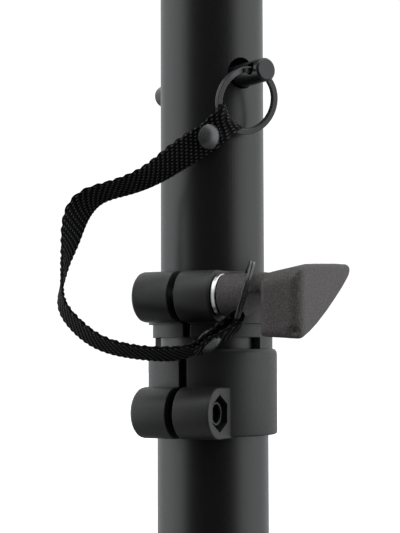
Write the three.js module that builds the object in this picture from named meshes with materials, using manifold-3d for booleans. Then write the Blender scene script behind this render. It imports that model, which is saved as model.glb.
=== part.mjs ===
// Telescopic upright and clamp joint of a folding music stand.
// Units are millimetres, +Z runs up the upright.  The origin is the centre of the
// lower tube's bottom end.  +X runs along the clamp screws towards the lever, and
// the open side of the split clamp faces -Y.
import * as THREE from 'three';
import { mergeVertices } from 'three/addons/utils/BufferGeometryUtils.js';
import Module from 'manifold-3d';

const wasm = await Module();
wasm.setup();

// ---------------------------------------------------------------- dimensions
const SEG = 96;                       // facets round the upright
const OUTER = { r: 18.7, bore: 17.7, z0: 0, z1: 90.1 };
const INNER = { r: 17.5, bore: 16.0, z0: 40, z1: 245 };
const COLLAR = { r: 21.7, neck: 20.2, ring: 21.6, z0: 63.45, shoulder: 92.0, ring0: 100.15, z1: 117.3 };
const COLLAR_BORE = { low: 18.85, high: 17.8, step: 90.45 };
const EAR_Y = -23.4;                  // both clamp screws run along X through here
const UPPER_EAR = { z: 108.87, r: 8.29, x0: -14.0, x1: 14.3 };
const LOWER_EAR = { z: 71.22, r: 8.35, x0: -14.5, x1: 14.4 };
const EAR_BORE = 3.3;
const NUT_AF = 10.0;
const POCKET_AF = 10.5;
const SLIT = { z0: 91.9, z1: 95.7, y: -4.4 };
const SPLIT_UP = { x0: -0.6, x1: 2.0 };
const SPLIT_LOW = { x0: -1.35, x1: 1.55 };
const M6 = 3.0;                       // screw radius
const PIN = { r: 3.85, z: 182.35, x: 0.8822, y: -0.4709, back: -32, front: 31, tubeHole: 5.2, tubeHoleZ: 183.3 };
const PIN_EYE = { along: 26.8, z: 181.95, r: 2.05, dir: [-0.4513, -0.8446, 0.2882] };
const RING = { r: 10.18, radial: 0.65, axial: 0.8 };
const PIN_RING = { c: [19.66, -13.57, 172.87], n: [0.777, -0.56, -0.288] };
const LEVER_RING = { c: [22.7, -23.65, 109.0], n: [0.84, 0.466, -0.278] };
const WEB = { width: 9.7, thick: 1.3, fold: 1.62 };   // webbing, and the pitch of its two layers at a rivet
const LEVER = { hub: 6.95, x0: 16.3, blade0: 32.0, blade1: 46.1, y: -32.0 };

// Route of the webbing's middle line, end to end, with its width direction:
// x, y, z, wx, wy, wz at each station.
const ROUTE = [
  [5.08, -22.09, 158.00, -0.418, -0.355, 0.836],
  [9.31, -20.29, 160.84, -0.475, -0.391, 0.788],
  [11.87, -17.16, 164.92, -0.529, -0.481, 0.699],
  [13.21, -16.23, 166.34, -0.407, -0.351, 0.843],
  [13.92, -16.25, 166.67, -0.407, -0.351, 0.843],
  [15.18, -17.08, 166.93, -0.407, -0.351, 0.843],
  [15.54, -17.76, 166.82, -0.407, -0.351, 0.843],
  [15.64, -18.49, 166.56, -0.407, -0.351, 0.843],
  [15.03, -19.66, 165.78, -0.501, -0.421, 0.756],
  [10.06, -21.71, 160.61, -0.477, -0.384, 0.790],
  [6.92, -23.04, 158.52, -0.390, -0.405, 0.827],
  [3.83, -24.41, 156.37, -0.332, -0.499, 0.801],
  [0.79, -25.84, 154.20, -0.252, -0.626, 0.738],
  [-2.18, -27.24, 151.91, -0.179, -0.724, 0.667],
  [-5.21, -28.60, 149.68, -0.070, -0.789, 0.610],
  [-8.37, -30.01, 147.68, 0.046, -0.824, 0.564],
  [-11.69, -31.48, 146.02, 0.136, -0.838, 0.528],
  [-15.16, -32.97, 144.70, 0.197, -0.846, 0.496],
  [-18.69, -34.50, 143.60, 0.227, -0.851, 0.473],
  [-22.18, -36.05, 142.41, 0.174, -0.855, 0.489],
  [-25.45, -37.44, 140.68, -0.039, -0.845, 0.534],
  [-28.16, -38.44, 138.05, -0.306, -0.845, 0.438],
  [-29.94, -39.04, 134.60, -0.364, -0.897, 0.250],
  [-30.93, -39.47, 130.77, -0.237, -0.960, 0.147],
  [-31.60, -39.90, 126.85, -0.043, -0.990, 0.133],
  [-32.27, -40.47, 122.95, 0.175, -0.977, 0.123],
  [-32.83, -41.08, 119.04, 0.348, -0.932, 0.102],
  [-33.16, -41.66, 115.10, 0.476, -0.873, 0.105],
  [-33.40, -42.37, 111.17, 0.593, -0.793, 0.140],
  [-33.01, -42.96, 107.33, 0.660, -0.711, 0.242],
  [-31.37, -42.99, 103.80, 0.638, -0.675, 0.369],
  [-28.87, -42.58, 100.74, 0.598, -0.670, 0.441],
  [-26.00, -41.96, 98.03, 0.564, -0.676, 0.475],
  [-22.89, -41.17, 95.65, 0.516, -0.703, 0.490],
  [-19.52, -40.21, 93.76, 0.445, -0.749, 0.491],
  [-15.92, -39.13, 92.42, 0.390, -0.789, 0.475],
  [-12.21, -37.93, 91.50, 0.363, -0.813, 0.455],
  [-8.47, -36.68, 90.85, 0.344, -0.829, 0.442],
  [-4.71, -35.38, 90.42, 0.329, -0.838, 0.435],
  [-0.94, -34.05, 90.23, 0.305, -0.847, 0.435],
  [2.82, -32.72, 90.36, 0.271, -0.868, 0.416],
  [6.49, -31.37, 91.03, 0.240, -0.910, 0.338],
  [9.82, -30.05, 92.64, 0.239, -0.944, 0.229],
  [12.67, -28.80, 95.10, 0.202, -0.970, 0.133],
  [15.84, -28.12, 97.45, 0.148, -0.985, 0.087],
  [18.91, -27.44, 99.98, 0.142, -0.986, 0.092],
  [20.53, -27.10, 101.09, 0.166, -0.978, 0.124],
  [21.18, -26.88, 101.32, 0.258, -0.950, 0.178],
  [21.88, -26.70, 101.27, 0.258, -0.950, 0.178],
  [23.00, -26.56, 100.42, 0.258, -0.950, 0.178],
  [23.25, -26.61, 99.74, 0.258, -0.950, 0.178],
  [23.24, -26.75, 99.03, 0.258, -0.950, 0.178],
  [22.96, -26.95, 98.40, 0.258, -0.950, 0.178],
  [22.46, -27.17, 97.93, 0.165, -0.979, 0.121],
  [19.01, -27.79, 96.28, 0.121, -0.985, 0.122],
  [13.76, -28.73, 93.90, 0.198, -0.971, 0.135],
  [9.31, -30.63, 90.50, 0.275, -0.943, 0.188],
];
const [CUT_A, CUT_B, CUT_C] = [13, 26, 38];   // stations where one run hands over to the next
const RIVET_TOP = 9;
const HALF = 0.65;                    // half the webbing's thickness
const RIVET_LOW = 43;

// ------------------------------------------------------------------- helpers
function solid(geometry) {
  let g = geometry.index ? geometry.clone() : geometry.clone();
  g.deleteAttribute('normal');
  g.deleteAttribute('uv');
  g = mergeVertices(g, 1e-4);
  return new wasm.Manifold(new wasm.Mesh({
    numProp: 3,
    vertProperties: new Float32Array(g.attributes.position.array),
    triVerts: new Uint32Array(g.index.array),
  }));
}

function geometryOf(manifold) {
  const m = manifold.getMesh();
  const g = new THREE.BufferGeometry();
  const v = new Float32Array(m.numVert * 3);
  for (let i = 0; i < m.numVert; i++) {
    for (let k = 0; k < 3; k++) v[i * 3 + k] = m.vertProperties[i * m.numProp + k];
  }
  g.setAttribute('position', new THREE.BufferAttribute(v, 3));
  g.setIndex(new THREE.BufferAttribute(new Uint32Array(m.triVerts), 1));
  const flat = g.toNonIndexed();
  flat.computeVertexNormals();
  return flat;
}

// A turned piece about +Z: points are [radius, z].
function turned(points, segments = SEG) {
  const g = new THREE.LatheGeometry(points.map(([r, z]) => new THREE.Vector2(r, z)), segments);
  g.rotateX(Math.PI / 2);             // lathe axis Y becomes Z
  return outward(g);
}

function outward(g) {
  // flips the faces when the signed volume is negative
  const s = g.index ? g.toNonIndexed() : g;
  const p = s.attributes.position;
  let vol = 0;
  const a = new THREE.Vector3(), b = new THREE.Vector3(), c = new THREE.Vector3();
  for (let i = 0; i < p.count; i += 3) {
    a.fromBufferAttribute(p, i); b.fromBufferAttribute(p, i + 1); c.fromBufferAttribute(p, i + 2);
    vol += a.dot(b.cross(c));
  }
  if (vol < 0) {
    const arr = s.attributes.position.array;
    for (let i = 0; i < arr.length; i += 9) {
      for (let k = 0; k < 3; k++) {
        const t = arr[i + 3 + k];
        arr[i + 3 + k] = arr[i + 6 + k];
        arr[i + 6 + k] = t;
      }
    }
  }
  return s;
}

// A bar of a (y, z) outline running along X from x0 to x1, with its ends bevelled.
function alongX(shape, x0, x1, bevel = 0, curve = 24, steps = 3) {
  const g = new THREE.ExtrudeGeometry(shape, bevel > 0 ? {
    depth: x1 - x0 - 2 * bevel, bevelEnabled: true, bevelThickness: bevel,
    bevelSize: bevel, bevelOffset: -bevel, bevelSegments: steps, curveSegments: curve,
  } : { depth: x1 - x0, bevelEnabled: false, curveSegments: curve });
  g.translate(0, 0, x0 + bevel);
  g.applyMatrix4(new THREE.Matrix4().set(0, 0, 1, 0, 1, 0, 0, 0, 0, 1, 0, 0, 0, 0, 0, 1));
  return g;
}

function rod(r, x0, x1, y, z, segments = 40) {
  const g = new THREE.CylinderGeometry(r, r, x1 - x0, segments);
  g.rotateZ(-Math.PI / 2);
  g.translate((x0 + x1) / 2, y, z);
  return solid(g);
}

function cone(rA, rB, x0, x1, y, z, segments = 40) {
  const g = new THREE.CylinderGeometry(rB, rA, x1 - x0, segments);
  g.rotateZ(-Math.PI / 2);
  g.translate((x0 + x1) / 2, y, z);
  return solid(g);
}

// Hexagonal bar along X, corners up and down.
function hex(af, x0, x1, y, z) {
  const g = new THREE.CylinderGeometry(af / Math.sqrt(3), af / Math.sqrt(3), x1 - x0, 6);
  g.rotateZ(-Math.PI / 2);
  g.rotateX(Math.PI / 2);
  g.translate((x0 + x1) / 2, y, z);
  g.computeBoundingBox();
  if (g.boundingBox.max.z - z < af * 0.55) {
    g.translate(0, -y, -z); g.rotateX(Math.PI / 6); g.translate(0, y, z);
  }
  return solid(g);
}

function block(x0, x1, y0, y1, z0, z1) {
  const g = new THREE.BoxGeometry(x1 - x0, y1 - y0, z1 - z0);
  g.translate((x0 + x1) / 2, (y0 + y1) / 2, (z0 + z1) / 2);
  return solid(g);
}

// Places a geometry built about +Z so that +Z points along dir, at the point at.
function aim(g, dir, at) {
  const q = new THREE.Quaternion().setFromUnitVectors(new THREE.Vector3(0, 0, 1), dir.clone().normalize());
  g.applyQuaternion(q);
  g.translate(at.x, at.y, at.z);
  return g;
}

// A flat ribbon that follows given stations, with its width direction set at each.
class Ribbon extends THREE.Curve {
  constructor(stations) {
    super();
    this.stations = stations;
  }
  getPoint(t, target = new THREE.Vector3()) {
    const n = this.stations.length - 1;
    const s = Math.min(n - 1e-9, Math.max(0, t * n));
    const i = Math.floor(s);
    return target.lerpVectors(this.stations[i].p, this.stations[i + 1].p, s - i);
  }
  getSpacedPoints() {
    return this.stations.map((s) => s.p.clone());
  }
  computeFrenetFrames() {
    const tangents = [], normals = [], binormals = [];
    const n = this.stations.length;
    this.stations.forEach((s, i) => {
      const t = this.stations[Math.min(n - 1, i + 1)].p.clone().sub(this.stations[Math.max(0, i - 1)].p).normalize();
      const w = s.w.clone().addScaledVector(t, -s.w.dot(t)).normalize();
      tangents.push(t); normals.push(w); binormals.push(new THREE.Vector3().crossVectors(t, w));
    });
    return { tangents, normals, binormals };
  }
}

function webbing(stations) {
  const hw = WEB.width / 2, ht = WEB.thick / 2, c = 0.3;
  const s = new THREE.Shape();
  s.moveTo(-hw, -ht + c); s.lineTo(-hw + c, -ht); s.lineTo(hw - c, -ht); s.lineTo(hw, -ht + c);
  s.lineTo(hw, ht - c); s.lineTo(hw - c, ht); s.lineTo(-hw + c, ht); s.lineTo(-hw, ht - c);
  s.closePath();
  const g = new THREE.ExtrudeGeometry(s, { steps: stations.length - 1, extrudePath: new Ribbon(stations), bevelEnabled: false });
  return solid(outward(g));
}

function ringOf(c, n, extra = 0) {
  const [a, b] = [RING.radial + extra, RING.axial + extra];
  const pts = [[-a, -b * 0.55], [-a * 0.6, -b], [a * 0.6, -b], [a, -b * 0.55], [a, b * 0.55], [a * 0.6, b], [-a * 0.6, b], [-a, b * 0.55], [-a, -b * 0.55]]
    .map(([r, z]) => [RING.r + r, z]);
  const g = turned(pts, 72);
  return solid(aim(g, new THREE.Vector3(...n), new THREE.Vector3(...c)));
}

const group = new THREE.Group();
function add(name, manifold, color, roughness, metalness) {
  const mesh = new THREE.Mesh(
    geometryOf(manifold),
    new THREE.MeshStandardMaterial({ color, roughness, metalness }),
  );
  mesh.name = name;
  group.add(mesh);
  return mesh;
}

const BLACK_COAT = [0x1d1d1e, 0.38, 0.1];
const BLACK_CAST = [0x222223, 0.5, 0.1];
const STEEL = [0xb9babb, 0.3, 0.9];
const DARK_STEEL = [0x4a4a4c, 0.35, 0.8];
const NYLON = [0x151516, 0.9, 0.0];
const LEVER_BROWN = [0x4b4645, 0.65, 0.0];

// ------------------------------------------------------------------ the tubes
const outerTube = solid(turned([
  [OUTER.bore, OUTER.z0], [OUTER.r, OUTER.z0], [OUTER.r, OUTER.z1], [OUTER.bore, OUTER.z1], [OUTER.bore, OUTER.z0],
]));
add('outer_tube', outerTube, ...BLACK_COAT);

const pinDir = new THREE.Vector3(PIN.x, PIN.y, 0).normalize();
const crossHole = solid(aim(new THREE.CylinderGeometry(PIN.tubeHole, PIN.tubeHole, 60, 48).rotateX(Math.PI / 2), pinDir, new THREE.Vector3(0, 0, PIN.tubeHoleZ)));
const innerTube = solid(turned([
  [INNER.bore, INNER.z0], [INNER.r, INNER.z0], [INNER.r, INNER.z1], [INNER.bore, INNER.z1], [INNER.bore, INNER.z0],
])).subtract(crossHole);
add('inner_tube', innerTube, ...BLACK_COAT);

add('inner_tube_glide', solid(turned([
  [12, 36.8], [17.45, 36.8], [17.45, 39.7], [15.75, 39.7], [15.75, 51.5], [15.25, 52], [12, 52], [12, 36.8],
])), ...NYLON);

// ------------------------------------------------------------ the split clamp
function earShape(z, r) {
  const s = new THREE.Shape();
  s.moveTo(-12, z + r);
  s.lineTo(EAR_Y, z + r);
  s.absarc(EAR_Y, z, r, Math.PI / 2, Math.PI * 1.5, false);
  s.lineTo(-12, z - r);
  s.closePath();
  return s;
}
function ear({ z, r, x0, x1 }, bevelLeft, bevelRight) {
  return solid(alongX(earShape(z, r), x0, 5, bevelLeft, 20))
    .add(solid(alongX(earShape(z, r), -5, x1, bevelRight, 20)));
}
let collar = solid(turned([
  [0, COLLAR.z0], [20.9, COLLAR.z0], [21.47, 63.7], [COLLAR.r, 64.25], [COLLAR.r, 90.3], [21.45, 91.2], [20.9, 91.8],
  [COLLAR.neck, COLLAR.shoulder], [COLLAR.neck, COLLAR.ring0], [COLLAR.ring, COLLAR.ring0], [COLLAR.ring, 116.3],
  [21.3, 117.0], [20.6, COLLAR.z1], [0, COLLAR.z1],
]));
collar = collar.add(ear(UPPER_EAR, 1.6, 0.7)).add(ear(LOWER_EAR, 1.9, 0.7));
collar = collar.subtract(solid(turned([[0, 60], [COLLAR_BORE.low, 60], [COLLAR_BORE.low, COLLAR_BORE.step], [COLLAR_BORE.high, COLLAR_BORE.step + 0.6], [COLLAR_BORE.high, 120], [0, 120]])));
collar = collar.subtract(block(SPLIT_UP.x0, SPLIT_UP.x1, -40, -10, SLIT.z0 + 1, 120));
collar = collar.subtract(block(SPLIT_LOW.x0, SPLIT_LOW.x1, -40, -10, 60, SLIT.z1 - 1));
collar = collar.subtract(block(-30, 30, -40, SLIT.y, SLIT.z0, SLIT.z1));
// screw holes, nut pockets and the counterbore
collar = collar.subtract(rod(EAR_BORE, -20, 20, EAR_Y, UPPER_EAR.z));
collar = collar.subtract(rod(EAR_BORE, -20, 20, EAR_Y, LOWER_EAR.z));
collar = collar.subtract(hex(POCKET_AF, -20, -8.0, EAR_Y, UPPER_EAR.z));
collar = collar.subtract(hex(POCKET_AF, 7.9, 20, EAR_Y, LOWER_EAR.z));
collar = collar.subtract(rod(5.3, -20, -7.9, EAR_Y, LOWER_EAR.z));
add('clamp_collar', collar, ...BLACK_CAST);

// --------------------------------------------------------- lever side hardware
add('lever_washer', rod(7.0, 14.55, 16.1, EAR_Y, UPPER_EAR.z, 64).subtract(rod(3.2, 14, 17, EAR_Y, UPPER_EAR.z)), ...STEEL);

// Stud with the collar that the lever is moulded round.
add('lever_stud', rod(M6, -13.4, 24.2, EAR_Y, UPPER_EAR.z, 40).add(rod(4.4, 19.3, 22.3, EAR_Y, UPPER_EAR.z, 24)), ...STEEL);

add('stud_nut', hex(NUT_AF, -13.2, -8.3, EAR_Y, UPPER_EAR.z).subtract(rod(3.2, -15, -7, EAR_Y, UPPER_EAR.z)), ...DARK_STEEL);

// Lever: a round hub, a neck over the screw axis and a wing-shaped blade.
const wing = new THREE.Shape();
[[-32, 97.3], [-31.75, 96.2], [-31.05, 95.35], [-30, 94.95], [-28.6, 95.15], [-23.5, 96.9], [-17.7, 99.3], [-9.85, 103.3], [-3, 107.3], [3.74, 111.5], [9.0, 115.2], [10.5, 116.9],
  [10.8, 118.2], [10.2, 119.4], [8.6, 120.0], [0.5, 119.8], [-16.2, 118.9], [-24.5, 118.35], [-28.2, 117.6], [-30.4, 116.2], [-31.6, 114.3], [-32, 112.2]].forEach(([y, z], i) => (i ? wing.lineTo(y, z) : wing.moveTo(y, z)));
wing.closePath();
const blade = alongX(wing, LEVER.blade0, LEVER.blade1, 1.4, 24, 4);
{
  // the top edge drops towards the hub side
  const p = blade.attributes.position;
  for (let i = 0; i < p.count; i++) {
    const inward = (LEVER.blade1 - p.getX(i)) / (LEVER.blade1 - LEVER.blade0);
    const high = THREE.MathUtils.clamp((p.getZ(i) - 104) / 13, 0, 1);
    const low = THREE.MathUtils.clamp((101 - p.getZ(i)) / 6, 0, 1);
    p.setZ(i, p.getZ(i) - 2.6 * inward * high + (0.9 * inward - 0.35) * low);
  }
}
const neckCut = new THREE.Shape();
[[23.3, 101], [23.3, 101.9], [27.8, 109.2], [33.2, 109.2], [33.2, 96], [23.3, 96]].forEach(([x, z], i) => (i ? neckCut.lineTo(x, z) : neckCut.moveTo(x, z)));
neckCut.closePath();
const neckWedge = new THREE.ExtrudeGeometry(neckCut, { depth: 30, bevelEnabled: false });
neckWedge.applyMatrix4(new THREE.Matrix4().set(1, 0, 0, 0, 0, 0, -1, 0, 0, 1, 0, 0, 0, 0, 0, 1));  // (x, z) outline swept along -Y
neckWedge.translate(0, -10, 0);
let leverBody = rod(LEVER.hub, LEVER.x0, 33.0, EAR_Y, UPPER_EAR.z, 64).subtract(solid(outward(neckWedge)));
// rounded upright edges at the front of the blade
function edgeCutter(cx, cy, r, sx) {
  const s = new THREE.Shape();
  s.moveTo(cx + sx * (r + 1.5), cy - r - 1.5);
  s.lineTo(cx + sx * (r + 1.5), cy);
  s.lineTo(cx + sx * r, cy);
  for (let i = 1; i <= 8; i++) {
    const a = (i / 8) * Math.PI / 2;
    s.lineTo(cx + sx * r * Math.cos(a), cy - r * Math.sin(a));
  }
  s.lineTo(cx, cy - r - 1.5);
  s.closePath();
  const g = new THREE.ExtrudeGeometry(s, { depth: 40, bevelEnabled: false });
  g.translate(0, 0, 88);
  return solid(outward(g));
}
leverBody = leverBody.add(solid(outward(blade)));
leverBody = leverBody.subtract(edgeCutter(LEVER.blade1 - 3.6, LEVER.y + 3.6, 3.6, 1)).subtract(edgeCutter(LEVER.blade0 + 2.2, LEVER.y + 2.2, 2.2, -1));
leverBody = leverBody.subtract(rod(3.3, 15, 24.6, EAR_Y, UPPER_EAR.z)).subtract(rod(4.7, 19.0, 22.6, EAR_Y, UPPER_EAR.z, 24));
add('clamp_lever', leverBody, ...LEVER_BROWN);

// --------------------------------------------------------- lower clamp screw
const socket = hex(5.0, -15, -10.6, EAR_Y, LOWER_EAR.z);
add('lower_clamp_screw', rod(5.0, -14.0, -8.2, EAR_Y, LOWER_EAR.z, 48).add(rod(M6, -8.5, 11.3, EAR_Y, LOWER_EAR.z, 40)).subtract(socket), ...DARK_STEEL);
add('lower_lock_nut', hex(NUT_AF, 8.2, 12.0, EAR_Y, LOWER_EAR.z)
  .add(cone(4.75, 3.9, 11.9, 13.2, EAR_Y, LOWER_EAR.z, 40))
  .subtract(rod(3.2, 7, 12.31, EAR_Y, LOWER_EAR.z)).subtract(rod(3.75, 12.3, 15, EAR_Y, LOWER_EAR.z)), ...DARK_STEEL);
add('lock_nut_insert', rod(3.6, 12.45, 13.1, EAR_Y, LOWER_EAR.z, 40).subtract(rod(3.15, 12, 14, EAR_Y, LOWER_EAR.z)), 0xc9c6bd, 0.6, 0.0);

// --------------------------------------------------------------- safety pin
const pinProfile = [[0, PIN.back]];
for (let i = 1; i <= 6; i++) {
  const a = (i / 6) * Math.PI / 2;
  pinProfile.push([PIN.r * Math.sin(a), PIN.back + 2.4 * (1 - Math.cos(a))]);
}
pinProfile.push([PIN.r, PIN.front - 0.6], [PIN.r - 0.6, PIN.front], [0, PIN.front]);
const eyeAt = pinDir.clone().multiplyScalar(PIN_EYE.along).setZ(PIN_EYE.z);
const eye = solid(aim(new THREE.CylinderGeometry(PIN_EYE.r, PIN_EYE.r, 20, 32).rotateX(Math.PI / 2), new THREE.Vector3(...PIN_EYE.dir), eyeAt));
add('safety_pin', solid(aim(turned(pinProfile, 48), pinDir, new THREE.Vector3(0, 0, PIN.z))).subtract(eye), ...DARK_STEEL);

add('pin_ring', ringOf(PIN_RING.c, PIN_RING.n), ...STEEL);
add('lever_ring', ringOf(LEVER_RING.c, LEVER_RING.n), ...STEEL);

// ------------------------------------------------------- webbing and rivets
const stations = ROUTE.map(([x, y, z, wx, wy, wz]) => ({ p: new THREE.Vector3(x, y, z), w: new THREE.Vector3(wx, wy, wz).normalize() }));
function run(from, to, gapStart, gapEnd) {
  const s = stations.slice(from, to + 1).map((q) => ({ p: q.p.clone(), w: q.w.clone() }));
  if (gapStart) s[0].p.addScaledVector(s[1].p.clone().sub(s[0].p).normalize(), 0.25);
  if (gapEnd) s[s.length - 1].p.addScaledVector(s[s.length - 2].p.clone().sub(s[s.length - 1].p).normalize(), 0.25);
  return s;
}
// Rivet axes: they point from the first layer to the folded-back layer.
function rivetAxis(i, sign) {
  const t = stations[i + 1].p.clone().sub(stations[i - 1].p).normalize();
  const w = stations[i].w.clone().addScaledVector(t, -stations[i].w.dot(t)).normalize();
  return new THREE.Vector3().crossVectors(t, w).multiplyScalar(sign);
}
const topAxis = new THREE.Vector3(-0.4612, 0.8759, 0.1419).normalize();   // away from the dome
const lowAxis = new THREE.Vector3(0.6732, 0.0445, -0.7381).normalize();   // towards the dome
const topAt = stations[RIVET_TOP].p;
const lowAt = stations[RIVET_LOW].p;
function rivetHole(at, axis) {
  return solid(aim(new THREE.CylinderGeometry(1.75, 1.75, 8, 24).rotateX(Math.PI / 2), axis, at));
}
// The rivet's head and flange press into the webbing.
function pressed(at, axis, from, to, r) {
  const g = new THREE.CylinderGeometry(r, r, to - from, 36).rotateX(Math.PI / 2);
  g.translate(0, 0, (from + to) / 2);
  return solid(aim(g, axis, at));
}
add('strap_a', webbing(run(0, CUT_A, false, true)).subtract(rivetHole(topAt, topAxis))
  .subtract(pressed(topAt, topAxis, HALF + WEB.fold + 0.05, HALF + WEB.fold + 3, 3.3)).subtract(pressed(topAt, topAxis, -HALF - 3, -HALF - 0.05, 4.3)).subtract(ringOf(PIN_RING.c, PIN_RING.n, 0.25)), ...NYLON);
add('strap_b', webbing(run(CUT_A, CUT_B, true, true)), ...NYLON);
add('strap_c', webbing(run(CUT_B, CUT_C, true, true)), ...NYLON);
add('strap_d', webbing(run(CUT_C, stations.length - 1, true, false)).subtract(rivetHole(lowAt, lowAxis))
  .subtract(pressed(lowAt, lowAxis, HALF + WEB.fold + 0.05, HALF + WEB.fold + 3, 4.3)).subtract(pressed(lowAt, lowAxis, -HALF - 3, -HALF - 0.05, 3.3)).subtract(ringOf(LEVER_RING.c, LEVER_RING.n, 0.25)), ...NYLON);

// A cap has a low dome and a blind hole; its post comes from a flange on the other side.
const ht = WEB.thick / 2;
function rivetCap() {
  // seated at z = 0, dome upwards
  const profile = [[1.75, 0], [4.05, 0], [4.05, 0.25], [3.75, 0.75], [3.0, 1.15], [1.9, 1.42], [0.9, 1.5], [0, 1.5], [0, 0.9], [1.75, 0.9], [1.75, 0]];
  return turned(profile, 36);
}
function rivetPost(length) {
  // flange below z = 0, post up to length
  return turned([[0, -0.7], [2.7, -0.7], [3.1, -0.35], [3.1, 0], [1.45, 0], [1.45, length], [0, length]], 32);
}
const both = WEB.fold + WEB.thick;     // from the outside of one layer to the outside of the other
const gap = 0.15;
// upper rivet: dome on the first layer, flange on the folded-back layer
const topOut = topAxis.clone().negate();
add('upper_rivet_cap', solid(aim(rivetCap(), topOut, topAt.clone().addScaledVector(topOut, ht + gap))), ...DARK_STEEL);
add('upper_rivet_post', solid(aim(rivetPost(both + 2 * gap + 0.6), topOut, topAt.clone().addScaledVector(topOut, -(ht + WEB.fold + gap)))), ...DARK_STEEL);
// lower rivet: dome on the folded-back layer, flange on the first layer
add('lower_rivet_cap', solid(aim(rivetCap(), lowAxis, lowAt.clone().addScaledVector(lowAxis, ht + WEB.fold + gap))), ...STEEL);
add('lower_rivet_post', solid(aim(rivetPost(both + 2 * gap + 0.6), lowAxis, lowAt.clone().addScaledVector(lowAxis, -(ht + gap)))), ...STEEL);

export default group;
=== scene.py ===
# Telescopic tube joint of a music stand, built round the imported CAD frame.
import math

import bpy
import bmesh
import numpy as np
from mathutils import Vector, Matrix


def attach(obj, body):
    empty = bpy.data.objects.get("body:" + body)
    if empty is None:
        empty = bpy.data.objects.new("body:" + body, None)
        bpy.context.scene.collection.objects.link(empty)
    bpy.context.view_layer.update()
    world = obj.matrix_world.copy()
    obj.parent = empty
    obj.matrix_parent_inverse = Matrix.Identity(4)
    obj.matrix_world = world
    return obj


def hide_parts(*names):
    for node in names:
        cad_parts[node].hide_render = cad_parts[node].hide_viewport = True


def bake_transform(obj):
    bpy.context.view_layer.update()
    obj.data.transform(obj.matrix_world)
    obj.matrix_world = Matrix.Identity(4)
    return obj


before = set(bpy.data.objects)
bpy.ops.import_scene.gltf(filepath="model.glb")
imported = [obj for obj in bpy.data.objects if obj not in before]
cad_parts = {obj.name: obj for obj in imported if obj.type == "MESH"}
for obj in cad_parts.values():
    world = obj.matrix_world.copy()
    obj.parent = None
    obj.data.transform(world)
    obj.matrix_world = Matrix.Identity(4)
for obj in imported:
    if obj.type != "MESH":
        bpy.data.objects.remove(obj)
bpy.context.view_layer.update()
MM = 0.001
scene = bpy.context.scene
coll = scene.collection

# ------------------------------------------------------------------ camera
YAW = math.radians(27.4)
PITCH = math.radians(3.49)
ROLL = math.radians(-0.153)
cam_data = bpy.data.cameras.new("camera")
cam_data.sensor_fit = "VERTICAL"
cam_data.sensor_height = 24.0
cam_data.sensor_width = 24.0
cam_data.lens = 1447.2 * 24.0 / 533.0
cam_data.clip_start = 0.01
cam_data.clip_end = 50.0
camera = bpy.data.objects.new("camera", cam_data)
coll.objects.link(camera)
fwd = Vector((-math.sin(YAW) * math.cos(PITCH), math.cos(YAW) * math.cos(PITCH), math.sin(PITCH)))
right = Vector((math.cos(YAW), math.sin(YAW), 0.0))
up = right.cross(fwd)
r_ax = right * math.cos(ROLL) + up * math.sin(ROLL)
u_ax = -right * math.sin(ROLL) + up * math.cos(ROLL)
loc = Vector((-4.22 * math.cos(YAW) + 490.0 * math.sin(YAW), -4.22 * math.sin(YAW) - 490.0 * math.cos(YAW), 90.0)) * MM
camera.matrix_world = Matrix((
    (r_ax.x, u_ax.x, -fwd.x, loc.x),
    (r_ax.y, u_ax.y, -fwd.y, loc.y),
    (r_ax.z, u_ax.z, -fwd.z, loc.z),
    (0, 0, 0, 1)))
scene.camera = camera
scene.view_settings.view_transform = "Standard"


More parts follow.
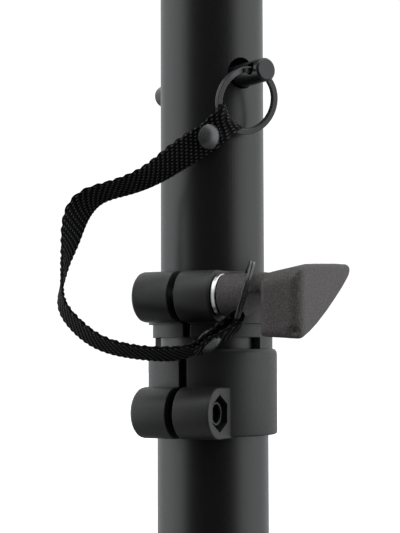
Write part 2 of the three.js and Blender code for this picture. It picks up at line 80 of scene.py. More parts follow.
# --------------------------------------------------------------- node helper
class Mat:
    """Small builder for a node material."""

    def __init__(self, name):
        self.m = bpy.data.materials.new(name)
        self.m.use_nodes = True
        self.nt = self.m.node_tree
        self.b = self.nt.nodes["Principled BSDF"]
        self.pos = self.node("ShaderNodeTexCoord").outputs["Object"]

    def node(self, kind, **kw):
        n = self.nt.nodes.new(kind)
        for k, v in kw.items():
            setattr(n, k, v)
        return n

    def link(self, a, b):
        self.nt.links.new(a, b)

    def set(self, **kw):
        for k, v in kw.items():
            self.b.inputs[k.replace("_", " ")].default_value = v
        return self

    def noise(self, scale, detail=3.0, rough=0.5, vec=None, out="Fac"):
        n = self.node("ShaderNodeTexNoise")
        n.inputs["Scale"].default_value = scale
        n.inputs["Detail"].default_value = detail
        n.inputs["Roughness"].default_value = rough
        self.link(vec or self.pos, n.inputs["Vector"])
        return n.outputs[out]

    def ramp(self, fac, stops):
        n = self.node("ShaderNodeValToRGB")
        e = n.color_ramp.elements
        while len(e) < len(stops):
            e.new(0.5)
        for el, (p, c) in zip(e, stops):
            el.position = p
            el.color = (*c, 1.0) if len(c) == 3 else c
        self.link(fac, n.inputs["Fac"])
        return n.outputs["Color"]

    def rng(self, fac, a, b, lo, hi):
        n = self.node("ShaderNodeMapRange")
        n.inputs["From Min"].default_value = a
        n.inputs["From Max"].default_value = b
        n.inputs["To Min"].default_value = lo
        n.inputs["To Max"].default_value = hi
        self.link(fac, n.inputs["Value"])
        return n.outputs["Result"]

    def math(self, op, a, b=None):
        n = self.node("ShaderNodeMath", operation=op)
        for i, v in enumerate((a, b)):
            if v is None:
                continue
            if isinstance(v, (int, float)):
                n.inputs[i].default_value = v
            else:
                self.link(v, n.inputs[i])
        return n.outputs[0]

    def mix(self, fac, a, b):
        n = self.node("ShaderNodeMix", data_type="RGBA")
        for sock, v in ((n.inputs[0], fac), (n.inputs[6], a), (n.inputs[7], b)):
            if isinstance(v, (int, float)):
                sock.default_value = v
            elif isinstance(v, tuple):
                sock.default_value = (*v, 1.0)
            else:
                self.link(v, sock)
        return n.outputs[2]

    def bump(self, height, strength, dist, under=None):
        n = self.node("ShaderNodeBump")
        n.inputs["Strength"].default_value = strength
        n.inputs["Distance"].default_value = dist
        self.link(height, n.inputs["Height"])
        if under is not None:
            self.link(under, n.inputs["Normal"])
        return n.outputs["Normal"]

    def edge(self, radius, samples=4):
        n = self.node("ShaderNodeBevel")
        n.samples = samples
        n.inputs["Radius"].default_value = radius
        return n.outputs["Normal"]

    def color(self, out):
        self.link(out, self.b.inputs["Base Color"])

    def roughness(self, out):
        self.link(out, self.b.inputs["Roughness"])

    def normal(self, out):
        self.link(out, self.b.inputs["Normal"])


def tube_coat():
    k = Mat("tube_coat")
    k.set(Metallic=0.0, IOR=1.5)
    cloud = k.noise(35.0, 3.0)
    k.color(k.mix(cloud, (0.0078, 0.0074, 0.0074), (0.0100, 0.0097, 0.0099)))
    k.roughness(k.rng(k.noise(900.0, 2.0), 0.3, 0.7, 0.32, 0.39))
    peel = k.noise(1500.0, 2.0)
    k.normal(k.bump(peel, 0.05, 0.0002, k.edge(0.00025)))
    return k.m


def collar_coat():
    k = Mat("collar_coat")
    k.set(Metallic=0.0, IOR=1.5)
    cloud = k.noise(60.0, 4.0)
    k.color(k.mix(cloud, (0.014, 0.0138, 0.0138), (0.0195, 0.0193, 0.0193)))
    k.roughness(k.rng(k.noise(1200.0, 3.0), 0.3, 0.7, 0.42, 0.54))
    grain = k.noise(2600.0, 3.0)
    k.normal(k.bump(grain, 0.10, 0.0002, k.edge(0.0004)))
    return k.m


def lever_plastic():
    k = Mat("lever_plastic")
    k.set(Metallic=0.0, IOR=1.5)
    fine = k.noise(2100.0, 4.0, 0.7)
    broad = k.noise(500.0, 4.0, 0.6)
    spots = k.ramp(fine, [(0.33, (0.019, 0.0165, 0.016)), (0.50, (0.060, 0.053, 0.0505)), (0.66, (0.155, 0.137, 0.131))])
    k.color(k.mix(k.rng(broad, 0.35, 0.65, 0.0, 0.35), spots, (0.055, 0.049, 0.0465)))
    k.roughness(k.rng(fine, 0.3, 0.7, 0.50, 0.68))
    k.normal(k.bump(fine, 0.6, 0.0004))
    return k.m


def steel(name, color, rough, metallic=1.0, edge=0.0002, streak=True):
    k = Mat(name)
    k.set(Metallic=metallic)
    c2 = tuple(v * 0.8 for v in color)
    k.color(k.mix(k.noise(400.0, 4.0), color, c2))
    k.roughness(k.rng(k.noise(1800.0, 3.0), 0.3, 0.7, rough * 0.8, rough * 1.25))
    k.normal(k.bump(k.noise(2500.0, 2.0), 0.06, 0.0001, k.edge(edge)))
    return k.m


def plain_plastic(name, color, rough):
    k = Mat(name)
    c2 = tuple(v * 0.85 for v in color)
    k.color(k.mix(k.noise(300.0, 3.0), color, c2))
    k.roughness(k.rng(k.noise(1500.0, 3.0), 0.3, 0.7, rough * 0.9, rough * 1.1))
    k.normal(k.bump(k.noise(2200.0, 3.0), 0.1, 0.0002, k.edge(0.0003)))
    return k.m


def webbing_mat():
    k = Mat("webbing")
    k.set(Metallic=0.0, IOR=1.45, Sheen_Weight=0.0, Sheen_Roughness=0.4)
    k.b.inputs["Specular IOR Level"].default_value = 0.16
    k.b.inputs["Sheen Tint"].default_value = (0.6, 0.6, 0.62, 1.0)
    uv = k.node("ShaderNodeUVMap", uv_map="weave").outputs["UV"]
    sep = k.node("ShaderNodeSeparateXYZ")
    k.link(uv, sep.inputs[0])
    # fibres run along the length inside each raised yarn
    comb = k.node("ShaderNodeCombineXYZ")
    k.link(k.math("MULTIPLY", sep.outputs["X"], 14.0), comb.inputs[0])
    k.link(k.math("MULTIPLY", sep.outputs["Y"], 2.0), comb.inputs[1])
    fib = k.noise(1.0, 2.0, 0.6, vec=comb.outputs[0])
    h = k.node("ShaderNodeVertexColor", layer_name="relief")
    raised = h.outputs["Color"]
    sepc = k.node("ShaderNodeSeparateColor")
    k.link(raised, sepc.inputs[0])
    # painted shade and painted highlight: the base colour goes near black in the weave valleys and light on the raised
    # yarn tops, standing in for shade and highlights on the weave
    weave_shade_and_highlight = k.ramp(sepc.outputs[0], [(0.0, (0.0004, 0.0004, 0.0004)), (0.45, (0.0022, 0.0022, 0.0022)), (0.72, (0.018, 0.018, 0.018)), (1.0, (0.15, 0.15, 0.151))])
    k.color(k.mix(k.rng(fib, 0.3, 0.7, 0.0, 0.5), weave_shade_and_highlight, (0.006, 0.006, 0.006)))
    k.roughness(k.rng(fib, 0.3, 0.7, 0.5, 0.75))
    k.normal(k.bump(fib, 0.35, 0.0001))
    return k.m


MATS = {
    "tube": tube_coat(),
    "collar": collar_coat(),
    "lever": lever_plastic(),
    "zinc": steel("zinc_steel", (0.80, 0.80, 0.81), 0.28),
    "dark": steel("dark_steel", (0.02, 0.02, 0.021), 0.33),
    "pin": steel("black_pin", (0.022, 0.022, 0.0225), 0.26, metallic=0.2),
    "ring": steel("ring_steel", (0.075, 0.075, 0.077), 0.24, metallic=0.7),
    "rivet": steel("rivet_dark", (0.12, 0.12, 0.122), 0.25, metallic=0.35),
    "insert": plain_plastic("nylon_insert", (0.05, 0.05, 0.048), 0.5),
    "glide": plain_plastic("glide_plastic", (0.02, 0.02, 0.02), 0.5),
    "web": webbing_mat(),
}


# --------------------------------------------------- shading of carried nodes
def smooth_group():
    g = bpy.data.node_groups.new("soft_shading", "GeometryNodeTree")
    g.interface.new_socket("Geometry", in_out="INPUT", socket_type="NodeSocketGeometry")
    g.interface.new_socket("Geometry", in_out="OUTPUT", socket_type="NodeSocketGeometry")
    i = g.nodes.new("NodeGroupInput")
    o = g.nodes.new("NodeGroupOutput")
    weld = g.nodes.new("GeometryNodeMergeByDistance")
    weld.inputs["Distance"].default_value = 0.000002
    f = g.nodes.new("GeometryNodeSetShadeSmooth")
    f.domain = "FACE"
    e = g.nodes.new("GeometryNodeSetShadeSmooth")
    e.domain = "EDGE"
    e.inputs["Shade Smooth"].default_value = False
    ang = g.nodes.new("GeometryNodeInputMeshEdgeAngle")
    cmp_ = g.nodes.new("FunctionNodeCompare")
    cmp_.data_type = "FLOAT"
    cmp_.operation = "GREATER_THAN"
    cmp_.inputs[1].default_value = math.radians(28)
    g.links.new(i.outputs[0], weld.inputs["Geometry"])
    g.links.new(weld.outputs[0], f.inputs["Geometry"])
    g.links.new(f.outputs[0], e.inputs["Geometry"])
    g.links.new(ang.outputs["Unsigned Angle"], cmp_.inputs[0])
    g.links.new(cmp_.outputs[0], e.inputs["Selection"])
    g.links.new(e.outputs[0], o.inputs[0])
    return g


SOFT = smooth_group()


def dress(node, mat):
    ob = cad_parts[node]
    ob = ob if hasattr(ob, "data") else bpy.data.objects[node]
    ob.data.materials.clear()
    ob.data.materials.append(MATS[mat])
    md = ob.modifiers.new("soft_shading", "NODES")
    md.node_group = SOFT
    return ob


for node, mat in (("outer_tube", "tube"), ("inner_tube", "tube"), ("inner_tube_glide", "glide"), ("clamp_collar", "collar"),
                  ("lever_stud", "zinc"), ("stud_nut", "dark"), ("lower_clamp_screw", "dark"), ("lower_lock_nut", "dark"),
                  ("lock_nut_insert", "insert"), ("safety_pin", "pin"), ("upper_rivet_post", "rivet"), ("lower_rivet_post", "rivet")):
    dress(node, mat)


# ----------------------------------------------------------- mesh utilities
def new_obj(name, verts, faces, mat, smooth=True):
    me = bpy.data.meshes.new(name)
    me.from_pydata([tuple(v) for v in verts], [], faces)
    me.materials.append(MATS[mat])
    if smooth:
        me.polygons.foreach_set("use_smooth", [True] * len(me.polygons))
    me.update()
    ob = bpy.data.objects.new(name, me)
    coll.objects.link(ob)
    return ob


def frame_of(axis):
    a = Vector(axis).normalized()
    h = Vector((0, 0, 1)) if abs(a.z) < 0.9 else Vector((1, 0, 0))
    u = h.cross(a).normalized()
    v = a.cross(u).normalized()
    return a, u, v


def lathe(name, profile, at, axis, mat, seg=96):
    """profile: (radius mm, height mm) pairs from the axis back to the axis or closed on itself."""
    a, u, v = frame_of(axis)
    at = Vector(at)
    verts, rings = [], []
    for r, h in profile:
        if r < 1e-6:
            rings.append([len(verts)])
            verts.append((at + a * h) * MM)
        else:
            idx = []
            for k in range(seg):
                t = 2 * math.pi * k / seg
                idx.append(len(verts))
                verts.append((at + a * h + (u * math.cos(t) + v * math.sin(t)) * r) * MM)
            rings.append(idx)
    closed = profile[0][0] > 1e-6
    faces = []
    n = len(rings)
    for i in range(n if closed else n - 1):
        p, q = rings[i], rings[(i + 1) % n]
        for k in range(seg):
            k2 = (k + 1) % seg
            if len(p) == 1:
                faces.append((p[0], q[k2], q[k]))
            elif len(q) == 1:
                faces.append((p[k], p[k2], q[0]))
            else:
                faces.append((p[k], p[k2], q[k2], q[k]))
    ob = new_obj(name, verts, faces, mat)
    fix_normals(ob)
    return ob


def fix_normals(ob):
    bm = bmesh.new()
    bm.from_mesh(ob.data)
    bmesh.ops.recalc_face_normals(bm, faces=bm.faces)
    if bm.calc_volume(signed=True) < 0:
        bmesh.ops.reverse_faces(bm, faces=bm.faces)
    bm.to_mesh(ob.data)
    bm.free()
    ob.data.update()


def soften(ob):
    md = ob.modifiers.new("soft_shading", "NODES")
    md.node_group = SOFT
    return ob


# ------------------------------------------------------------- split rings
RING_R = 10.18
PIN_RING = (np.array([19.66, -13.57, 172.87]), np.array([0.777, -0.56, -0.288]))
LEVER_RING = (np.array([22.7, -23.65, 109.0]), np.array([0.84, 0.466, -0.278]))


def ring_axes(n):
    n = n / np.linalg.norm(n)
    u = np.cross([0, 0, 1.0], n)
    u /= np.linalg.norm(u)
    return n, u, np.cross(n, u)


def split_ring(name, centre, normal, start):
    """Two turns of flat wire side by side, with a step where one turn passes to the other."""
    n, u, v = ring_axes(normal)
    hw, ht, c = 0.93, 0.43, 0.16           # half radial width, half axial thickness, corner
    sec = [(-hw + c, -ht), (hw - c, -ht), (hw, -ht + c), (hw, ht - c), (hw - c, ht), (-hw + c, ht), (-hw, ht - c), (-hw, -ht + c)]
    total = math.radians(706)
    steps = 330
    verts, faces = [], []
    for i in range(steps + 1):
        t = i / steps * total
        d = math.degrees(t)
        k = min(1.0, max(0.0, (d - 328.0) / 50.0))
        off = -0.47 + 0.94 * (k * k * (3 - 2 * k))
        a = start + t
        rad = math.cos(a) * u + math.sin(a) * v
        end = min(i, steps - i)
        shrink = 0.78 if end == 0 else (0.93 if end == 1 else 1.0)
        for sr, sa in sec:
            verts.append((centre + rad * (RING_R + sr * shrink) + n * (off + sa * shrink)) * MM)
    m = len(sec)
    for i in range(steps):
        for j in range(m):
            j2 = (j + 1) % m
            faces.append((i * m + j, i * m + j2, (i + 1) * m + j2, (i + 1) * m + j))
    faces.append(tuple(range(m)))
    faces.append(tuple(steps * m + j for j in reversed(range(m))))
    ob = new_obj(name, verts, faces, "ring")
    fix_normals(ob)
    return soften(ob)


pin_ring = split_ring("pin_split_ring", *PIN_RING, math.radians(120))
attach(pin_ring, "pin_ring")
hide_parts("pin_ring")
lever_ring = split_ring("lever_split_ring", *LEVER_RING, math.radians(80))
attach(lever_ring, "lever_ring")
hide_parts("lever_ring")

# ------------------------------------------------------------ webbing strap
# middle line of the webbing and its width direction, station by station (mm)
ROUTE = np.array([
    (5.08, -22.09, 158.00, -0.418, -0.355, 0.836),
    (6.17, -21.62, 158.75, -0.416, -0.355, 0.837),
    (7.74, -20.95, 159.80, -0.411, -0.352, 0.841),
    (9.31, -20.29, 160.84, -0.475, -0.391, 0.788),
    (10.04, -19.62, 161.85, -0.529, -0.481, 0.699),
    (10.66, -18.81, 162.87, -0.514, -0.492, 0.703),
    (11.25, -17.96, 163.90, -0.514, -0.492, 0.703),
    (11.87, -17.16, 164.92, -0.529, -0.481, 0.699),
    (12.60, -16.49, 165.93, -0.506, -0.420, 0.753),
    (13.21, -16.23, 166.34, -0.407, -0.351, 0.843),
    (13.92, -16.25, 166.67, -0.407, -0.351, 0.843),
    (14.61, -16.55, 166.88, -0.407, -0.351, 0.843),
    (15.18, -17.08, 166.93, -0.407, -0.351, 0.843),
    (15.54, -17.76, 166.82, -0.407, -0.351, 0.843),
    (15.64, -18.49, 166.56, -0.407, -0.351, 0.843),
    (15.46, -19.16, 166.20, -0.407, -0.351, 0.843),
    (15.03, -19.66, 165.78, -0.501, -0.421, 0.756),
    (14.11, -20.16, 164.74, -0.564, -0.424, 0.708),
    (13.08, -20.52, 163.71, -0.570, -0.409, 0.713),
    (12.01, -20.84, 162.68, -0.570, -0.409, 0.713),
    (10.98, -21.20, 161.65, -0.564, -0.424, 0.708),
    (10.06, -21.71, 160.61, -0.477, -0.384, 0.790),
    (8.48, -22.37, 159.57, -0.399, -0.375, 0.837),
    (6.92, -23.04, 158.52, -0.390, -0.405, 0.827),
    (5.37, -23.71, 157.44, -0.368, -0.446, 0.816),
    (3.83, -24.41, 156.37, -0.332, -0.499, 0.801),
    (2.30, -25.12, 155.29, -0.290, -0.562, 0.774),
    (0.79, -25.84, 154.20, -0.252, -0.626, 0.738),
    (-0.69, -26.55, 153.06, -0.218, -0.680, 0.700),
    (-2.18, -27.24, 151.91, -0.179, -0.724, 0.667),
    (-3.68, -27.92, 150.77, -0.129, -0.760, 0.637),
    (-5.21, -28.60, 149.68, -0.070, -0.789, 0.610),
    (-6.77, -29.29, 148.64, -0.010, -0.811, 0.586),
    (-8.37, -30.01, 147.68, 0.046, -0.824, 0.564),
    (-10.01, -30.74, 146.80, 0.095, -0.833, 0.545),
    (-11.69, -31.48, 146.02, 0.136, -0.838, 0.528),
    (-13.41, -32.22, 145.32, 0.169, -0.842, 0.512),
    (-15.16, -32.97, 144.70, 0.197, -0.846, 0.496),
    (-16.92, -33.73, 144.14, 0.217, -0.848, 0.483),
    (-18.69, -34.50, 143.60, 0.227, -0.851, 0.473),
    (-20.45, -35.28, 143.04, 0.217, -0.854, 0.473),
    (-22.18, -36.05, 142.41, 0.174, -0.855, 0.489),
    (-23.86, -36.78, 141.64, 0.088, -0.852, 0.517),
    (-25.45, -37.44, 140.68, -0.039, -0.845, 0.534),
    (-26.91, -38.00, 139.48, -0.185, -0.840, 0.510),
    (-28.16, -38.44, 138.05, -0.306, -0.845, 0.438),
    (-29.18, -38.77, 136.40, -0.367, -0.866, 0.340),
    (-29.94, -39.04, 134.60, -0.364, -0.897, 0.250),
    (-30.50, -39.26, 132.71, -0.313, -0.932, 0.185),
    (-30.93, -39.47, 130.77, -0.237, -0.960, 0.147),
    (-31.27, -39.67, 128.81, -0.146, -0.980, 0.134),
    (-31.60, -39.90, 126.85, -0.043, -0.990, 0.133),
    (-31.93, -40.17, 124.90, 0.068, -0.989, 0.132),
    (-32.27, -40.47, 122.95, 0.175, -0.977, 0.123),
    (-32.58, -40.78, 121.00, 0.270, -0.957, 0.110),
    (-32.83, -41.08, 119.04, 0.348, -0.932, 0.102),
    (-33.02, -41.37, 117.07, 0.414, -0.905, 0.100),
    (-33.16, -41.66, 115.10, 0.476, -0.873, 0.105),
    (-33.30, -42.00, 113.13, 0.536, -0.836, 0.118),
    (-33.40, -42.37, 111.17, 0.593, -0.793, 0.140),
    (-33.34, -42.72, 109.23, 0.638, -0.749, 0.180),
    (-33.01, -42.96, 107.33, 0.660, -0.711, 0.242),
    (-32.34, -43.05, 105.51, 0.657, -0.687, 0.311),
    (-31.37, -42.99, 103.80, 0.638, -0.675, 0.369),
    (-30.19, -42.82, 102.22, 0.617, -0.671, 0.412),
    (-28.87, -42.58, 100.74, 0.598, -0.670, 0.441),
    (-27.47, -42.29, 99.35, 0.581, -0.671, 0.461),
    (-26.00, -41.96, 98.03, 0.564, -0.676, 0.475),
    (-24.48, -41.59, 96.79, 0.543, -0.686, 0.483),
    (-22.89, -41.17, 95.65, 0.516, -0.703, 0.490),
    (-21.24, -40.71, 94.64, 0.482, -0.725, 0.493),
    (-19.52, -40.21, 93.76, 0.445, -0.749, 0.491),
    (-17.74, -39.68, 93.03, 0.413, -0.771, 0.485),
    (-15.92, -39.13, 92.42, 0.390, -0.789, 0.475),
    (-14.07, -38.54, 91.92, 0.374, -0.802, 0.465),
    (-12.21, -37.93, 91.50, 0.363, -0.813, 0.455),
    (-10.35, -37.31, 91.14, 0.353, -0.822, 0.448),
    (-8.47, -36.68, 90.85, 0.344, -0.829, 0.442),
    (-6.59, -36.04, 90.60, 0.336, -0.834, 0.437),
    (-4.71, -35.38, 90.42, 0.329, -0.838, 0.435),
    (-2.83, -34.72, 90.29, 0.319, -0.842, 0.435),
    (-0.94, -34.05, 90.23, 0.305, -0.847, 0.435),
    (0.94, -33.38, 90.25, 0.289, -0.855, 0.431),
    (2.82, -32.72, 90.36, 0.271, -0.868, 0.416),
    (4.68, -32.05, 90.60, 0.254, -0.887, 0.386),
    (6.49, -31.37, 91.03, 0.240, -0.910, 0.338),
    (8.22, -30.70, 91.70, 0.235, -0.931, 0.280),
    (9.82, -30.05, 92.64, 0.239, -0.944, 0.229),
    (11.29, -29.42, 93.80, 0.248, -0.949, 0.195),
    (12.67, -28.80, 95.10, 0.202, -0.970, 0.133),
    (14.30, -28.46, 96.21, 0.142, -0.986, 0.092),
    (15.84, -28.12, 97.45, 0.148, -0.985, 0.087),
    (17.36, -27.78, 98.74, 0.148, -0.985, 0.087),
    (18.91, -27.44, 99.98, 0.142, -0.986, 0.092),
    (20.53, -27.10, 101.09, 0.166, -0.978, 0.124),
    (21.18, -26.88, 101.32, 0.258, -0.950, 0.178),
    (21.88, -26.70, 101.27, 0.258, -0.950, 0.178),
    (22.52, -26.59, 100.95, 0.258, -0.950, 0.178),
    (23.00, -26.56, 100.42, 0.258, -0.950, 0.178),
    (23.25, -26.61, 99.74, 0.258, -0.950, 0.178),
    (23.24, -26.75, 99.03, 0.258, -0.950, 0.178),
    (22.96, -26.95, 98.40, 0.258, -0.950, 0.178),
    (22.46, -27.17, 97.93, 0.165, -0.979, 0.121),
    (20.77, -27.48, 97.04, 0.123, -0.986, 0.114),
    (19.01, -27.79, 96.28, 0.121, -0.985, 0.122),
    (17.21, -28.10, 95.56, 0.121, -0.985, 0.122),
    (15.45, -28.41, 94.80, 0.123, -0.986, 0.114),
    (13.76, -28.73, 93.90, 0.198, -0.971, 0.135),
    (12.38, -29.34, 92.61, 0.261, -0.949, 0.180),
    (10.91, -29.98, 91.44, 0.269, -0.945, 0.186),
    (9.31, -30.63, 90.50, 0.275, -0.943, 0.188),
])
I_TOP, I_LOW = 21, 89
W_TOP = np.array([13.81, -18.07, 165.86])
W_LOW = np.array([21.49, -27.14, 99.51])
HALF_W, HALF_T = 4.85, 0.65


def resample(route, step):
    P, W = route[:, :3], route[:, 3:]
    s = np.r_[0, np.cumsum(np.linalg.norm(np.diff(P, axis=0), axis=1))]
    n = max(4, int(round(s[-1] / step)))
    S = np.linspace(0, s[-1], n + 1)
    # centripetal-like tangents by finite differences, cubic Hermite between stations
    m = np.gradient(P, s, axis=0)
    mw = np.gradient(W, s, axis=0)
    i = np.clip(np.searchsorted(s, S, side="right") - 1, 0, len(s) - 2)
    h = (s[i + 1] - s[i])
    t = ((S - s[i]) / h)[:, None]
    h = h[:, None]
    h00, h10, h01, h11 = 2 * t**3 - 3 * t**2 + 1, t**3 - 2 * t**2 + t, -2 * t**3 + 3 * t**2, t**3 - t**2
    Q = h00 * P[i] + h10 * h * m[i] + h01 * P[i + 1] + h11 * h * m[i + 1]
    V = h00 * W[i] + h10 * h * mw[i] + h01 * W[i + 1] + h11 * h * mw[i + 1]
    return S, Q, V, s


STEP = 0.30
S, Q, V, s_st = resample(ROUTE, STEP)
T = np.gradient(Q, axis=0)
T /= np.linalg.norm(T, axis=1)[:, None]
V -= T * np.sum(V * T, axis=1)[:, None]
V /= np.linalg.norm(V, axis=1)[:, None]
N = np.cross(T, V)
S_TOP, S_LOW = s_st[I_TOP], s_st[I_LOW]
S_APEX1 = s_st[np.argmin(np.linalg.norm(ROUTE[:I_TOP, :3] - (W_TOP + (W_TOP - ROUTE[I_TOP, :3]) / np.linalg.norm(W_TOP - ROUTE[I_TOP, :3]) * 2.0), axis=1))]
k2 = I_LOW + np.argmin(np.linalg.norm(ROUTE[I_LOW:, :3] - (W_LOW + (W_LOW - ROUTE[I_LOW, :3]) / np.linalg.norm(W_LOW - ROUTE[I_LOW, :3]) * 1.85), axis=1))
S_APEX2 = s_st[k2]


def ring_shift(w_pt, wdir, ring):
    """How far the ring's wire bends away from a straight bar through w_pt along wdir, across the webbing."""
    c, nrm = ring
    n, u, v = ring_axes(nrm)
    t = np.linspace(0, 2 * np.pi, 1441)
    R = c + RING_R * (np.cos(t)[:, None] * u + np.sin(t)[:, None] * v)
    near = np.linalg.norm(R - w_pt, axis=1) < 8.5
    R = R[near]
    x = (R - w_pt) @ wdir
    order = np.argsort(x)
    R, x = R[order], x[order]
    xs = np.linspace(-HALF_W - 0.6, HALF_W + 0.6, 41)
    D = np.stack([np.interp(xs, x, (R - w_pt)[:, k]) for k in range(3)], 1) - xs[:, None] * wdir
    return xs, D


def smooth01(x):
    x = np.clip(x, 0, 1)
    return x * x * (3 - 2 * x)


F1 = ring_shift(W_TOP, V[np.argmin(abs(S - S_APEX1))], PIN_RING)
F2 = ring_shift(W_LOW, V[np.argmin(abs(S - S_APEX2))], LEVER_RING)
COLS = 10                      # raised warp columns across the webbing
PITCH_W = 1.9                 # length of one raised yarn
NX = 61


def relief(s, x):
    """Height of the weave, 0 to 1, at length s and place across x (mm)."""
    cw = 2 * HALF_W / COLS
    q = (x + HALF_W) / cw
    col = np.floor(q)
    fx = q - col
    phase = col * 0.30
    jitter = 0.06 * np.sin(col * 12.9 + s * 0.11)
    fy = (s / PITCH_W + phase + jitter) % 1.0
    hx = np.clip(np.sin(np.pi * fx), 0, 1) ** 0.8
    hy = np.clip(np.sin(np.pi * np.clip(fy / 0.72, 0, 1)), 0, 1) ** 0.6
    return hx * hy


def strap_mesh(name, s0, s1, cap0, cap1):
    sel = np.where((S >= s0 - 1e-6) & (S <= s1 + 1e-6))[0]
    q, w, n, t, s = Q[sel], V[sel], N[sel], T[sel], S[sel]
    xs = np.linspace(-1, 1, NX)
    verts, rel, uvs = [], [], []
    taper0 = np.ones(len(s))
    for side in (1, -1):
        for j, x in enumerate(xs if side == 1 else xs[::-1]):
            X = x * HALF_W
            edge = max(0.0, (abs(x) - 0.86) / 0.14)
            thick = HALF_T * (math.sqrt(max(0.0, 1 - edge * edge)) * 0.85 + 0.15 * (1 - edge))
            # the thick edge yarn stands out in loops along one side
            scallop = 0.0
            Xs = np.full(len(s), X)
            if x > 0.55:
                lob = np.abs(np.sin(np.pi * s / 3.4))
                Xs = Xs + (x - 0.55) / 0.45 * (0.62 * lob - 0.32)
            elif x < -0.8:
                Xs = Xs + 0.08 * np.sin(2 * np.pi * s / 1.75) * (-x - 0.8) / 0.2
            hh = relief(s + (0.0 if side == 1 else 0.9), np.clip(X, -HALF_W + 0.01, HALF_W - 0.01))
            amp = 0.30 * (1 - edge) + 0.08
            lift = thick - amp * (1 - hh)
            if x > 0.80:
                lob = np.abs(np.sin(np.pi * s / 3.4))
                lift = lift + 0.16 * lob * (1 - edge * 0.6)
            d1 = np.stack([np.interp(X, F1[0], F1[1][:, k]) for k in range(3)])
            d2 = np.stack([np.interp(X, F2[0], F2[1][:, k]) for k in range(3)])
            w1 = 1 - smooth01((np.abs(s - S_APEX1) - 3.2) / 5.0)
            w2 = 1 - smooth01((np.abs(s - S_APEX2) - 3.2) / 5.0)
            P = q + w * Xs[:, None] + n * (side * lift)[:, None] + w1[:, None] * d1 + w2[:, None] * d2
            verts.append(P)
            rel.append(np.clip(hh, 0, 1))
            uvs.append(np.stack([np.full(len(s), X), s], 1))
    A = np.array(verts)                  # (2*NX, L, 3)
    cols, L = A.shape[0], A.shape[1]
    # a cut end is a little uneven
    rng = np.random.default_rng(7)
    if cap0:
        A[:, 0] += t[0] * rng.uniform(-0.12, 0.22, cols)[:, None]
    if cap1:
        A[:, -1] += t[-1] * rng.uniform(-0.22, 0.12, cols)[:, None]
    vs = A.transpose(1, 0, 2).reshape(-1, 3) * MM
    R = np.array(rel).T.reshape(-1)
    U = np.array(uvs).transpose(1, 0, 2).reshape(-1, 2)
    idx = np.arange(L * cols).reshape(L, cols)
    faces = []
    a = idx[:-1]
    b = idx[1:]
    a2, b2 = np.roll(a, -1, axis=1), np.roll(b, -1, axis=1)
    quads = np.stack([a, a2, b2, b], -1).reshape(-1, 4)
    faces = [tuple(int(v) for v in f) for f in quads]
    for row, flip in ((idx[0], False), (idx[-1], True)):
        for j in range(NX - 1):
            f = (row[j], row[j + 1], row[cols - 2 - j], row[cols - 1 - j])
            faces.append(tuple(int(v) for v in (f if flip else f[::-1])))
    me = bpy.data.meshes.new(name)
    me.from_pydata(vs.tolist(), [], faces)
    me.materials.append(MATS["web"])
    me.polygons.foreach_set("use_smooth", [True] * len(me.polygons))
    uvl = me.uv_layers.new(name="weave")
    li = np.empty(len(me.loops), dtype=np.int32)
    me.loops.foreach_get("vertex_index", li)
    uvl.data.foreach_set("uv", U[li].astype(np.float32).ravel())
    # the weave height also drives painted shade in the valleys and painted highlight on the yarn tops in the webbing
    # material
    ca = me.color_attributes.new("relief", "FLOAT_COLOR", "POINT")
    ca.data.foreach_set("color", np.stack([R, R, R, np.ones_like(R)], 1).astype(np.float32).ravel())
    me.update()
    ob = bpy.data.objects.new(name, me)
    coll.objects.link(ob)
    fix_normals(ob)
    return ob


CUTS = [0.0, s_st[29], s_st[55], s_st[79], S[-1]]
# the lower run starts well up the loop
CUTS[2] = CUTS[1] + (CUTS[2] - CUTS[1]) * 0.85
# round each cut to a station of the mesh so that neighbours share it
CUTS = [float(S[np.argmin(abs(S - c))]) for c in CUTS]
runs = (
    ("webbing_upper_end", 0, "strap_a", "pin_ring", "pin", S_TOP + 5.5, CUTS[1]),
    ("webbing_upper_run", 1, "strap_b", "pin", "inner_tube", CUTS[1] + 2.0, CUTS[2] - 2.0),
    ("webbing_lower_run", 2, "strap_c", "inner_tube", "root", CUTS[2] + 1.0, CUTS[3] - 1.0),
    ("webbing_lower_end", 3, "strap_d", "root", "lever_ring", CUTS[3] + 0.5, S_LOW - 9.0),
)
for name, k, node, body_a, body_b, b0, b1 in runs:
    ob = strap_mesh(name, CUTS[k], CUTS[k + 1], k == 0, k == 3)
    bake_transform(ob)
    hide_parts(node)

# ------------------------------------------------------------------ rivets
TOP_AXIS = Vector((-0.4612, 0.8759, 0.1419)).normalized()
LOW_AXIS = Vector((0.6732, 0.0445, -0.7381)).normalized()
SPHERE = 6.6
CAP = [(1.75, 0.0), (3.75, 0.0), (3.98, 0.05), (4.06, 0.16)] + [
    (r_, math.sqrt(SPHERE * SPHERE - r_ * r_) - math.sqrt(SPHERE * SPHERE - 16.0) + 0.18)
    for r_ in (4.0, 3.85, 3.6, 3.3, 2.9, 2.45, 2.0, 1.5, 1.0, 0.5, 0.0)]


def cap_profile():
    dome = CAP[1:]
    return [(0.0, 0.9), (1.75, 0.9), (1.75, 0.0)] + dome


# the pressed dome sits a little askew on the webbing
TOP_TILT = Matrix.Rotation(math.radians(25.0), 3, "Z") @ (-TOP_AXIS)
top_cap = lathe("upper_rivet_dome", cap_profile(), Vector(ROUTE[I_TOP, :3]) - TOP_AXIS * (HALF_T + 0.35), TOP_TILT, "rivet", 72)
soften(top_cap)
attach(top_cap, "pin_ring")
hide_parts("upper_rivet_cap")
low_cap = lathe("lower_rivet_dome", cap_profile(), Vector(ROUTE[I_LOW, :3]) + LOW_AXIS * (HALF_T + 1.62 + 0.12), LOW_AXIS, "rivet", 72)
soften(low_cap)
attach(low_cap, "lever_ring")
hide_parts("lower_rivet_cap")

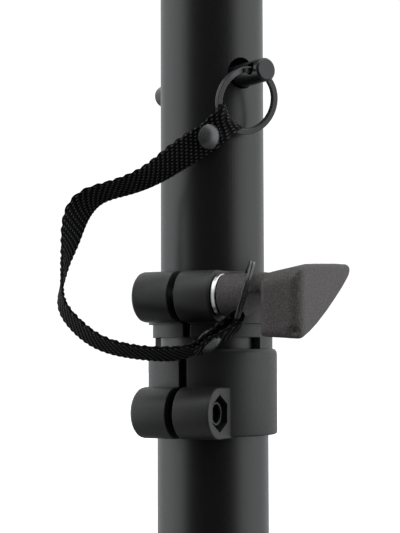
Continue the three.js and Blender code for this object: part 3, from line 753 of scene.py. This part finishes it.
# ------------------------------------------------------------------ washer
wx = 14.55
washer = lathe("spring_washer", [(3.2, 0.0), (6.75, 0.0), (7.0, 0.2), (7.0, 1.35), (6.75, 1.55), (3.2, 1.55)],
               (wx, -23.4, 108.87), (1, 0, 0), "zinc", 96)
soften(washer)
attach(washer, "root")
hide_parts("lever_washer")

# ------------------------------------------------------------------- lever
def lever_piece():
    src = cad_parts["clamp_lever"]
    src = src if hasattr(src, "data") else bpy.data.objects["clamp_lever"]
    me = src.data.copy()
    me.name = "moulded_lever"
    ob = bpy.data.objects.new("moulded_lever", me)
    coll.objects.link(ob)
    ob.matrix_world = src.matrix_world.copy()
    bpy.context.view_layer.update()
    me.transform(ob.matrix_world)
    ob.matrix_world = Matrix.Identity(4)
    bm = bmesh.new()
    bm.from_mesh(me)
    bmesh.ops.remove_doubles(bm, verts=bm.verts, dist=1e-6)
    bm.to_mesh(me)
    bm.free()
    rm = ob.modifiers.new("r", "REMESH")
    rm.mode = "VOXEL"
    rm.voxel_size = 0.00042
    sm = ob.modifiers.new("s", "SMOOTH")
    sm.factor = 0.5
    sm.iterations = 12
    dg = bpy.context.evaluated_depsgraph_get()
    done = bpy.data.meshes.new_from_object(ob.evaluated_get(dg))
    ob.modifiers.clear()
    ob.data = done
    done.name = "moulded_lever"
    co = np.empty(len(done.vertices) * 3)
    done.vertices.foreach_get("co", co)
    co = co.reshape(-1, 3)
    # ejector dimple low on the front face
    d = np.linalg.norm((co - np.array([0.0438, -0.032, 0.0972]))[:, [0, 2]], axis=1)
    front = co[:, 1] < -0.0305
    co[:, 1] += np.where(front, 0.0013 * np.exp(-(d / 0.0011) ** 2), 0)
    done.vertices.foreach_set("co", co.ravel())
    done.materials.clear()
    done.materials.append(MATS["lever"])
    done.polygons.foreach_set("use_smooth", [True] * len(done.polygons))
    done.update()
    return ob


lever = lever_piece()
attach(lever, "lever")
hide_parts("clamp_lever")


# ---------------------------------------------------------- floor and light
def floor():
    k = Mat("floor")
    k.set(Roughness=0.9)
    k.b.inputs["Base Color"].default_value = (0.9, 0.9, 0.9, 1)
    k.b.inputs["Emission Color"].default_value = (1, 1, 1, 1)
    k.b.inputs["Emission Strength"].default_value = 0.35
    me = bpy.data.meshes.new("floor")
    z = -0.0006
    me.from_pydata([(-6, -6, z), (6, -6, z), (6, 6, z), (-6, 6, z)], [], [(0, 1, 2, 3)])
    me.materials.append(k.m)
    ob = bpy.data.objects.new("floor", me)
    coll.objects.link(ob)
    ob.visible_diffuse = False
    ob.visible_glossy = False


floor()

world = bpy.data.worlds.new("studio")
scene.world = world
world.use_nodes = True
nt = world.node_tree
nt.nodes.clear()
out = nt.nodes.new("ShaderNodeOutputWorld")
tc = nt.nodes.new("ShaderNodeTexCoord")
dot = nt.nodes.new("ShaderNodeVectorMath")
dot.operation = "DOT_PRODUCT"
TURN = YAW - math.radians(4.0)
dot.inputs[1].default_value = (math.sin(TURN), -math.cos(TURN), 0.0)    # the dark side of the studio
nt.links.new(tc.outputs["Generated"], dot.inputs[0])
half = nt.nodes.new("ShaderNodeMapRange")
half.inputs["From Min"].default_value = -1.0
half.inputs["From Max"].default_value = 1.0
nt.links.new(dot.outputs["Value"], half.inputs["Value"])
prof = nt.nodes.new("ShaderNodeValToRGB")
prof.color_ramp.interpolation = "EASE"
els = prof.color_ramp.elements
PROFILE = ((0.0, 0.42), (0.2, 0.48), (0.46, 0.84), (0.68, 0.84), (0.87, 0.04), (1.0, 0.03))
while len(els) < len(PROFILE):
    els.new(0.5)
for el, (p_, v_) in zip(els, PROFILE):
    el.position = p_
    el.color = (v_ * 0.97, v_ * 0.985, v_, 1.0)
nt.links.new(half.outputs["Result"], prof.inputs["Fac"])
bg_l = nt.nodes.new("ShaderNodeBackground")
bg_l.inputs["Strength"].default_value = 2.15
# the ground keeps most of the light from coming up from below
xyz = nt.nodes.new("ShaderNodeSeparateXYZ")
nt.links.new(tc.outputs["Generated"], xyz.inputs[0])
low = nt.nodes.new("ShaderNodeMapRange")
low.interpolation_type = "SMOOTHSTEP"
low.inputs["From Min"].default_value = -0.65
low.inputs["From Max"].default_value = -0.10
low.inputs["To Min"].default_value = 0.22
low.inputs["To Max"].default_value = 1.0
nt.links.new(xyz.outputs["Z"], low.inputs["Value"])
shade = nt.nodes.new("ShaderNodeVectorMath")
shade.operation = "SCALE"
nt.links.new(prof.outputs["Color"], shade.inputs[0])
nt.links.new(low.outputs["Result"], shade.inputs["Scale"])
nt.links.new(shade.outputs["Vector"], bg_l.inputs["Color"])
bg_c = nt.nodes.new("ShaderNodeBackground")
bg_c.inputs["Color"].default_value = (1, 1, 1, 1)
bg_c.inputs["Strength"].default_value = 1.1
lp = nt.nodes.new("ShaderNodeLightPath")
mx = nt.nodes.new("ShaderNodeMixShader")
nt.links.new(lp.outputs["Is Camera Ray"], mx.inputs[0])
nt.links.new(bg_l.outputs[0], mx.inputs[1])
nt.links.new(bg_c.outputs[0], mx.inputs[2])
nt.links.new(mx.outputs[0], out.inputs["Surface"])
